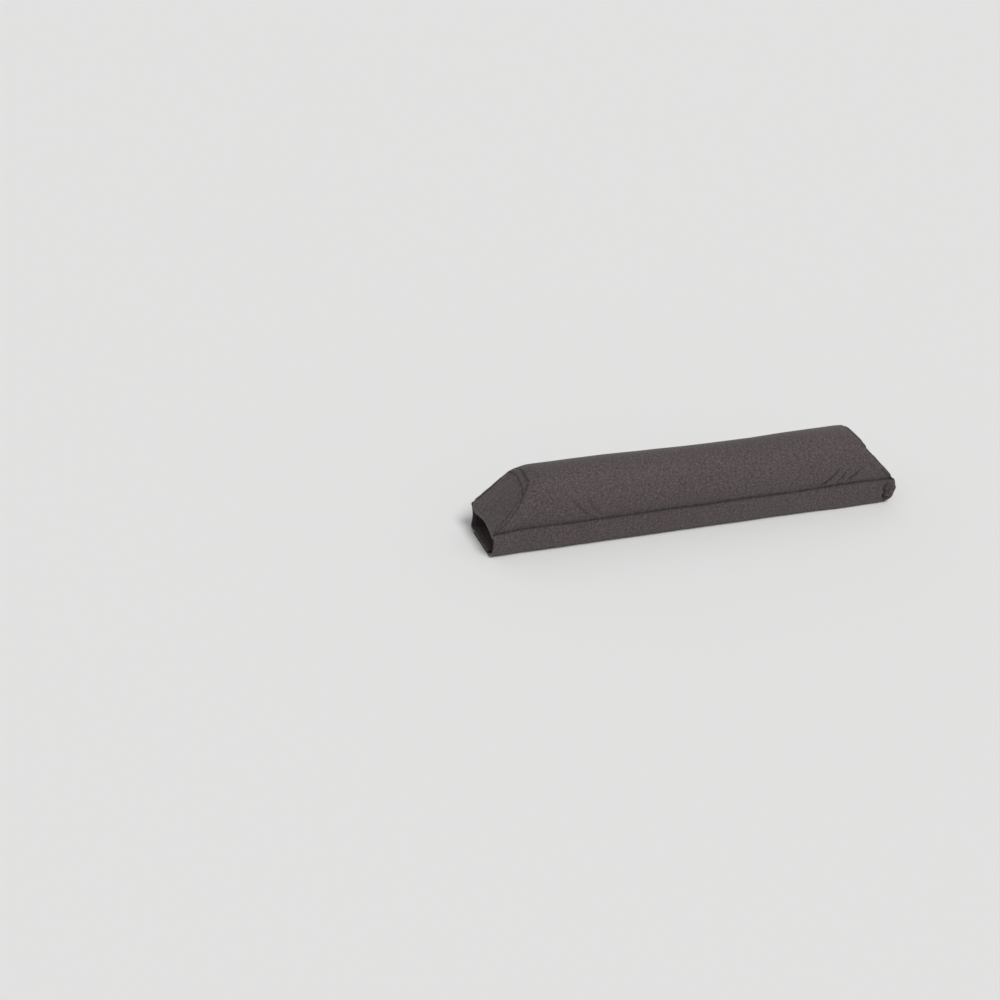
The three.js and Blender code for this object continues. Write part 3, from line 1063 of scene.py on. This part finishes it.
def stitch(start, stop, normal, radius):
    """One stitch as a short closed thread that arches out of the cloth."""
    sides, rings = 6, 6
    run = stop - start
    side = np.cross(run, normal)
    side /= np.linalg.norm(side)
    shares = np.linspace(0, 1, rings)
    swell = np.sqrt(np.sin(np.pi * (0.06 + 0.88 * shares)))
    turns = np.linspace(0, 2 * np.pi, sides, endpoint=False)
    points = []
    for share, size in zip(shares, swell):
        centre = start + share * run + radius * (1.5 * size - 0.9) * normal
        points += [centre + radius * size * (math.cos(t) * side + math.sin(t) * normal) for t in turns]
    faces = []
    for ring, k in itertools.product(range(rings - 1), range(sides)):
        a, b = ring * sides + k, ring * sides + (k + 1) % sides
        faces.append((a, b, b + sides, a + sides))
    last = (rings - 1) * sides
    faces.append(tuple(range(sides))[::-1])
    faces.append(tuple(range(last, last + sides)))
    return points, faces


def thread_object(name, cloth, paths, sizes):
    """Rows of stitches along guide lines, laid on the nearest face of a cloth."""
    pitch = sizes.stitch_length + 0.9 * MM
    points, faces = [], []
    for path in paths:
        path = np.asarray(path)
        count = max(1, round(distances_along(path)[-1] / pitch))
        places = evenly(path, 8 * count)
        for k in range(count):
            found = [cloth.closest_point_on_mesh(Vector(places[8 * k + step])) for step in (1, 7)]
            start, stop = (np.array(hit[1]) for hit in found)
            normal = np.array(found[0][2])
            new_points, new_faces = stitch(start, stop, normal, sizes.thread_radius)
            faces += [tuple(i + len(points) for i in face) for face in new_faces]
            points += new_points
    return mesh_object(name, points, faces)


def flap_paths(grid, along, tape_low, tape_high, sizes):
    """Guide lines for a flap's stitching, on its outer side: along each end hem and round the tape."""
    rows, columns = grid.shape[0] - 1, grid.shape[1] - 1
    hem_in = sizes.hem_width - 1.8 * MM
    hem_row = round(rows * hem_in / (2 * HALF_LENGTH))
    hem_top = int(np.searchsorted(along, HEM_TOP))
    hems = [grid[row, hem_top:] for row in (hem_row, rows - hem_row)]
    inset = 1.6 * MM
    z = grid[rows // 2, columns, 2]
    (x_low, y_low), (x_high, y_high) = tape_low[:2] + inset, tape_high[:2] - inset
    corners = [(x_low, y_low, z), (x_high, y_low, z), (x_high, y_high, z), (x_low, y_high, z)]
    sides = [np.array([a, b]) for a, b in zip(corners, corners[1:] + corners[:1])]
    return hems + sides


class PAD_OT_flaps(Operator):
    """Hang the two flaps from the base seams, close them under the sleeve and stitch them"""

    bl_idname = "rack_pad.flaps"
    bl_label = "Flaps and Stitching"

    def execute(self, context):
        sizes = context.scene.pad_sizes
        tapes = {"front": (HOOK_LOW, HOOK_HIGH), "rear": (LOOP_LOW, LOOP_HIGH)}
        for side, (low, high) in tapes.items():
            flap, outer, along = flap_object(f"{side}_flap_cloth", sizes, side)
            finished(flap, cloth_material(), "cover_cloth", f"{side}_flap")
            paths = flap_paths(outer, along, low, high, sizes)
            thread = thread_object(f"{side}_flap_thread", flap, paths, sizes)
            finished(thread, thread_material(), "cover_cloth")
        return {"FINISHED"}


# Materials

# How far the cloth's tone drifts, how strongly its yarn is mottled, and how much painted shade darkens it in
# a crease.
CLOTH_DRIFT, CLOTH_MOTTLE, CREASE_SHADE = 0.45, 1.9, 0.68


class Nodes:
    """Short forms for placing and joining shader nodes."""

    def __init__(self, tree):
        self.tree = tree

    def add(self, kind, **values):
        node = self.tree.nodes.new(kind)
        for name, value in values.items():
            setattr(node, name, value)
        return node

    def link(self, source, target):
        self.tree.links.new(source, target)

    def put(self, socket, value):
        if isinstance(value, bpy.types.NodeSocket):
            self.link(value, socket)
        else:
            socket.default_value = value

    def math(self, operation, a, b=0.0):
        node = self.add("ShaderNodeMath", operation=operation)
        self.put(node.inputs[0], a)
        self.put(node.inputs[1], b)
        return node.outputs[0]

    def noise(self, vector, scale, detail=2.0):
        node = self.add("ShaderNodeTexNoise")
        self.put(node.inputs["Vector"], vector)
        self.put(node.inputs["Scale"], scale)
        self.put(node.inputs["Detail"], detail)
        return node.outputs["Fac"]

    def stretched(self, vector, scale, turn=0.0):
        """Coordinates turned about the vertical, then scaled."""
        node = self.add("ShaderNodeMapping", vector_type="TEXTURE")
        self.put(node.inputs["Vector"], vector)
        node.inputs["Rotation"].default_value = (0, 0, turn)
        node.inputs["Scale"].default_value = tuple(1 / factor for factor in scale)
        return node.outputs["Vector"]

    def shade(self, colour, factor):
        """A colour times a factor that changes over the surface."""
        node = self.add("ShaderNodeVectorMath", operation="SCALE")
        self.put(node.inputs[0], colour)
        self.put(node.inputs["Scale"], factor)
        return node.outputs[0]


def new_group(name, inputs, outputs):
    group = bpy.data.node_groups.new(name, "ShaderNodeTree")
    for socket_name, kind, default in inputs:
        socket = group.interface.new_socket(name=socket_name, in_out="INPUT", socket_type=kind)
        if default is not None:
            socket.default_value = default
    for socket_name, kind in outputs:
        group.interface.new_socket(name=socket_name, in_out="OUTPUT", socket_type=kind)
    nodes = Nodes(group)
    return group, nodes, nodes.add("NodeGroupInput").outputs, nodes.add("NodeGroupOutput").inputs


def weave_group():
    """A plain weave: threads over and under each other, with uneven yarn."""
    known = bpy.data.node_groups.get("woven threads")
    if known:
        return known
    group, nodes, given, result = new_group(
        "woven threads",
        [("Vector", "NodeSocketVector", None), ("Pitch", "NodeSocketFloat", 0.9 * MM),
         ("Slub", "NodeSocketFloat", 0.5)],
        [("Height", "NodeSocketFloat"), ("Tone", "NodeSocketFloat")],
    )
    parts = nodes.add("ShaderNodeSeparateXYZ")
    nodes.link(given["Vector"], parts.inputs[0])
    turns = []
    for axis in ("X", "Y"):
        share = nodes.math("DIVIDE", parts.outputs[axis], given["Pitch"])
        turns.append(nodes.math("SINE", nodes.math("MULTIPLY", share, math.pi)))
    over = nodes.math("MULTIPLY", turns[0], turns[1])
    warp = nodes.math("POWER", nodes.math("ABSOLUTE", turns[0]), 0.5)
    weft = nodes.math("POWER", nodes.math("ABSOLUTE", turns[1]), 0.5)
    lift = nodes.math("ADD", nodes.math("MULTIPLY", over, 0.5), 0.5)
    both = nodes.math("MULTIPLY", warp, weft)
    height = nodes.math("ADD", nodes.math("MULTIPLY", lift, 0.6), nodes.math("MULTIPLY", both, 0.4))
    long_yarn = nodes.noise(nodes.stretched(given["Vector"], (60, 900, 1)), 1.0, 1.0)
    cross_yarn = nodes.noise(nodes.stretched(given["Vector"], (900, 60, 1)), 1.0, 1.0)
    yarn = nodes.math("SUBTRACT", nodes.math("ADD", long_yarn, cross_yarn), 1.0)
    uneven = nodes.math("MULTIPLY", yarn, given["Slub"])
    nodes.link(nodes.math("ADD", height, uneven), result["Height"])
    dark_gaps = nodes.math("ADD", nodes.math("MULTIPLY", height, 0.3), 0.82)
    nodes.link(nodes.math("ADD", dark_gaps, nodes.math("MULTIPLY", uneven, 0.9)), result["Tone"])
    return group


def mottle_group():
    """Uneven yarn seen from afar: short lighter and darker strokes along both diagonals of the cloth."""
    known = bpy.data.node_groups.get("mottled yarn")
    if known:
        return known
    group, nodes, given, result = new_group(
        "mottled yarn",
        [("Vector", "NodeSocketVector", None), ("Amount", "NodeSocketFloat", 0.5)],
        [("Tone", "NodeSocketFloat")],
    )
    strokes = [
        nodes.noise(nodes.stretched(given["Vector"], (230, 640, 1), turn), 1.0, 2.0)
        for turn in (math.radians(40), math.radians(-40))
    ]
    mixed = nodes.math("SUBTRACT", nodes.math("ADD", *strokes), 1.0)
    nodes.link(nodes.math("ADD", nodes.math("MULTIPLY", mixed, given["Amount"]), 1.0), result["Tone"])
    return group


def drift_group():
    """Slow changes of tone over a surface, with some fine grain."""
    known = bpy.data.node_groups.get("tone drift")
    if known:
        return known
    group, nodes, given, result = new_group(
        "tone drift",
        [("Vector", "NodeSocketVector", None), ("Amount", "NodeSocketFloat", 0.1)],
        [("Tone", "NodeSocketFloat")],
    )
    slow = nodes.noise(given["Vector"], 16.0, 3.0)
    fine = nodes.noise(given["Vector"], 330.0, 2.0)
    mixed = nodes.math("ADD", nodes.math("MULTIPLY", slow, 0.5), nodes.math("MULTIPLY", fine, 1.5))
    swing = nodes.math("MULTIPLY", nodes.math("SUBTRACT", mixed, 1.0), given["Amount"])
    nodes.link(nodes.math("ADD", swing, 1.0), result["Tone"])
    return group


def new_material(name):
    material = bpy.data.materials.new(name)
    material.use_nodes = True
    nodes = Nodes(material.node_tree)
    shader = material.node_tree.nodes["Principled BSDF"]
    place = nodes.add("ShaderNodeTexCoord")
    return material, nodes, shader, place.outputs["Object"]


def placed_group(nodes, group, **values):
    node = nodes.add("ShaderNodeGroup", node_tree=group)
    for name, value in values.items():
        nodes.put(node.inputs[name.title()], value)
    return node.outputs


def give_bump(nodes, shader, height, strength, distance):
    bumped = nodes.add("ShaderNodeBump")
    bumped.inputs["Strength"].default_value = strength
    bumped.inputs["Distance"].default_value = distance
    nodes.link(height, bumped.inputs["Height"])
    nodes.link(bumped.outputs["Normal"], shader.inputs["Normal"])


def rgba(colour):
    return (*colour, 1.0)


def woven_material(name, colour, pitch, slub, roughness, sheen):
    """A woven cloth whose threads follow the sheet's own flat pattern, darkened by painted shade in its
    seams, folds and hollows.
    """
    known = bpy.data.materials.get(name)
    if known:
        return known
    material, nodes, shader, place = new_material(name)
    flat = nodes.add("ShaderNodeUVMap", uv_map="cloth").outputs["UV"]
    weave = placed_group(nodes, weave_group(), vector=flat, pitch=pitch, slub=slub)
    drift = placed_group(nodes, drift_group(), vector=place, amount=CLOTH_DRIFT)
    mottle = placed_group(nodes, mottle_group(), vector=flat, amount=CLOTH_MOTTLE)
    # The crease attribute is painted shade: it darkens the cloth in its seams, folds and hollows.
    crease = nodes.add("ShaderNodeAttribute", attribute_name="crease").outputs["Fac"]
    painted_shade_factor = nodes.math("SUBTRACT", 1.0, nodes.math("MULTIPLY", crease, CREASE_SHADE))
    uneven = nodes.math("MULTIPLY", mottle["Tone"], drift["Tone"])
    tone = nodes.math("MULTIPLY", nodes.math("MULTIPLY", weave["Tone"], uneven), painted_shade_factor)
    nodes.link(nodes.shade(colour, tone), shader.inputs["Base Color"])
    rough = nodes.math("ADD", nodes.math("MULTIPLY", weave["Height"], -0.12), roughness)
    nodes.link(rough, shader.inputs["Roughness"])
    shader.inputs["Sheen Weight"].default_value = sheen
    shader.inputs["Sheen Roughness"].default_value = 0.45
    shader.inputs["Specular IOR Level"].default_value = 0.35
    give_bump(nodes, shader, weave["Height"], 0.55, 0.25 * MM)
    return material


def cloth_material():
    finish = bpy.context.scene.pad_finish
    return woven_material("cover cloth", tuple(finish.cloth_colour), finish.weave_pitch, 0.5, 0.82, 0.12)


def thread_material():
    known = bpy.data.materials.get("sewing thread")
    if known:
        return known
    material, nodes, shader, place = new_material("sewing thread")
    drift = placed_group(nodes, drift_group(), vector=place, amount=0.3)
    colour = tuple(bpy.context.scene.pad_finish.thread_colour)
    nodes.link(nodes.shade(colour, drift["Tone"]), shader.inputs["Base Color"])
    shader.inputs["Roughness"].default_value = 0.6
    strands = nodes.noise(nodes.stretched(place, (2500, 2500, 2500)), 1.0, 1.0)
    give_bump(nodes, shader, strands, 0.4, 0.08 * MM)
    return material


def tape_material(name, grain, height):
    """Closure tape: a dense field of small hooks or loops on a woven back."""
    material, nodes, shader, place = new_material(name)
    field = nodes.add("ShaderNodeTexVoronoi")
    nodes.link(place, field.inputs["Vector"])
    field.inputs["Scale"].default_value = grain
    drift = placed_group(nodes, drift_group(), vector=place, amount=0.35)
    tuft = nodes.math("SUBTRACT", 1.25, field.outputs["Distance"])
    tone = nodes.math("MULTIPLY", tuft, drift["Tone"])
    colour = tuple(bpy.context.scene.pad_finish.tape_colour)
    nodes.link(nodes.shade(colour, tone), shader.inputs["Base Color"])
    shader.inputs["Roughness"].default_value = 0.7
    give_bump(nodes, shader, tuft, 0.8, height)
    return material


def foam_material():
    """Closed-cell foam with fine pores."""
    material, nodes, shader, place = new_material("foam")
    cells = nodes.add("ShaderNodeTexVoronoi")
    nodes.link(place, cells.inputs["Vector"])
    cells.inputs["Scale"].default_value = 900.0
    drift = placed_group(nodes, drift_group(), vector=place, amount=0.12)
    tone = nodes.math("MULTIPLY", nodes.math("SUBTRACT", 1.12, cells.outputs["Distance"]), drift["Tone"])
    colour = tuple(bpy.context.scene.pad_finish.foam_colour)
    nodes.link(nodes.shade(colour, tone), shader.inputs["Base Color"])
    shader.inputs["Roughness"].default_value = 0.9
    give_bump(nodes, shader, cells.outputs["Distance"], 0.6, 0.3 * MM)
    return material


class PAD_OT_tapes(Operator):
    """Give the hook and loop strips their finish"""

    bl_idname = "rack_pad.tapes"
    bl_label = "Closure Tapes"

    def execute(self, context):
        finishes = {
            "hook_strip": ("hook tape", 1400.0, 0.4 * MM),
            "loop_strip": ("loop tape", 650.0, 0.6 * MM),
        }
        for node, (name, grain, height) in finishes.items():
            strip = bpy.data.objects[node]
            strip.data.materials.clear()
            strip.data.materials.append(tape_material(name, grain, height))
        return {"FINISHED"}


# The stage

FLOOR_HALF = 15
KEY_PLACE = (0.4, -1.35, 2.05)
SENSOR_WIDTH = 36


def make_floor(stage):
    half = FLOOR_HALF
    corners = [(-half, -half, 0), (half, -half, 0), (half, half, 0), (-half, half, 0)]
    floor = mesh_object("floor", corners, [(0, 1, 2, 3)])
    material = bpy.data.materials.new("floor")
    material.use_nodes = True
    shader = material.node_tree.nodes["Principled BSDF"]
    shader.inputs["Base Color"].default_value = rgba(stage.floor_colour)
    shader.inputs["Roughness"].default_value = 0.9
    shader.inputs["Specular IOR Level"].default_value = 0.2
    floor.data.materials.append(material)


def make_key(stage):
    data = bpy.data.lights.new("key", "SUN")
    data.energy = stage.key_level
    data.angle = stage.key_softness
    lamp = bpy.data.objects.new("key", data)
    lamp.location = KEY_PLACE
    lamp.rotation_euler = (-Vector(lamp.location)).to_track_quat("-Z", "Y").to_euler()
    bpy.context.scene.collection.objects.link(lamp)


def make_sky(stage):
    world = bpy.data.worlds.new("studio")
    world.use_nodes = True
    background = world.node_tree.nodes["Background"]
    background.inputs["Color"].default_value = (1, 1, 1, 1)
    nodes = Nodes(world.node_tree)
    rays = nodes.add("ShaderNodeLightPath").outputs
    seen = nodes.math("MAXIMUM", rays["Is Camera Ray"], rays["Is Glossy Ray"])
    seen = nodes.math("MAXIMUM", seen, rays["Is Transmission Ray"])
    beyond_floor = nodes.math("MULTIPLY", seen, stage.backdrop_level - stage.sky_level)
    nodes.link(nodes.math("ADD", beyond_floor, stage.sky_level), background.inputs["Strength"])
    bpy.context.scene.world = world


def make_camera(stage):
    data = bpy.data.cameras.new("camera")
    data.lens = stage.lens
    data.sensor_width = SENSOR_WIDTH
    data.clip_end = 100
    camera = bpy.data.objects.new("camera", data)
    level, turn = stage.elevation, stage.azimuth
    back = Vector((
        math.sin(turn) * math.cos(level), -math.cos(turn) * math.cos(level), math.sin(level),
    ))
    right = (-back).cross(Vector((0, 0, 1))).normalized()
    up = right.cross(-back)
    rolled_right = math.cos(stage.roll) * right + math.sin(stage.roll) * up
    rolled_up = math.cos(stage.roll) * up - math.sin(stage.roll) * right
    turned = Matrix((rolled_right, rolled_up, back)).transposed()
    camera.matrix_world = Matrix.Translation(Vector(stage.camera_place)) @ turned.to_4x4()
    bpy.context.scene.collection.objects.link(camera)
    bpy.context.scene.camera = camera


class PAD_OT_stage(Operator):
    """Lay the floor, hang the lights and set the camera"""

    bl_idname = "rack_pad.stage"
    bl_label = "Stage"

    def execute(self, context):
        stage = context.scene.pad_stage
        make_floor(stage)
        make_sky(stage)
        make_key(stage)
        make_camera(stage)
        context.scene.view_settings.view_transform = "Standard"
        return {"FINISHED"}


class PAD_PT_panel(Panel):
    """Lists the steps that build the pad"""

    bl_label = "Rack Pad"
    bl_idname = "PAD_PT_panel"
    bl_space_type = "VIEW_3D"
    bl_region_type = "UI"
    bl_category = "Rack Pad"

    def draw(self, context):
        layout = self.layout
        for step in STEPS:
            layout.operator(step.bl_idname)
        for settings in (context.scene.pad_sizes, context.scene.pad_finish, context.scene.pad_stage):
            column = layout.column()
            for name in settings.__annotations__:
                column.prop(settings, name)


STEPS = (PAD_OT_stage, PAD_OT_pocket, PAD_OT_flaps, PAD_OT_tapes)
CLASSES = (PadSizes, PadFinish, PadStage, *STEPS, PAD_PT_panel)


def register():
    for cls in CLASSES:
        bpy.utils.register_class(cls)
    bpy.types.Scene.pad_sizes = PointerProperty(type=PadSizes)
    bpy.types.Scene.pad_finish = PointerProperty(type=PadFinish)
    bpy.types.Scene.pad_stage = PointerProperty(type=PadStage)


def unregister():
    for name in ("pad_stage", "pad_finish", "pad_sizes"):
        delattr(bpy.types.Scene, name)
    for cls in reversed(CLASSES):
        bpy.utils.unregister_class(cls)


def main():
    register()
    bpy.ops.rack_pad.stage()
    bpy.ops.rack_pad.pocket()
    bpy.ops.rack_pad.flaps()
    bpy.ops.rack_pad.tapes()


if __name__ == "__main__":
    main()
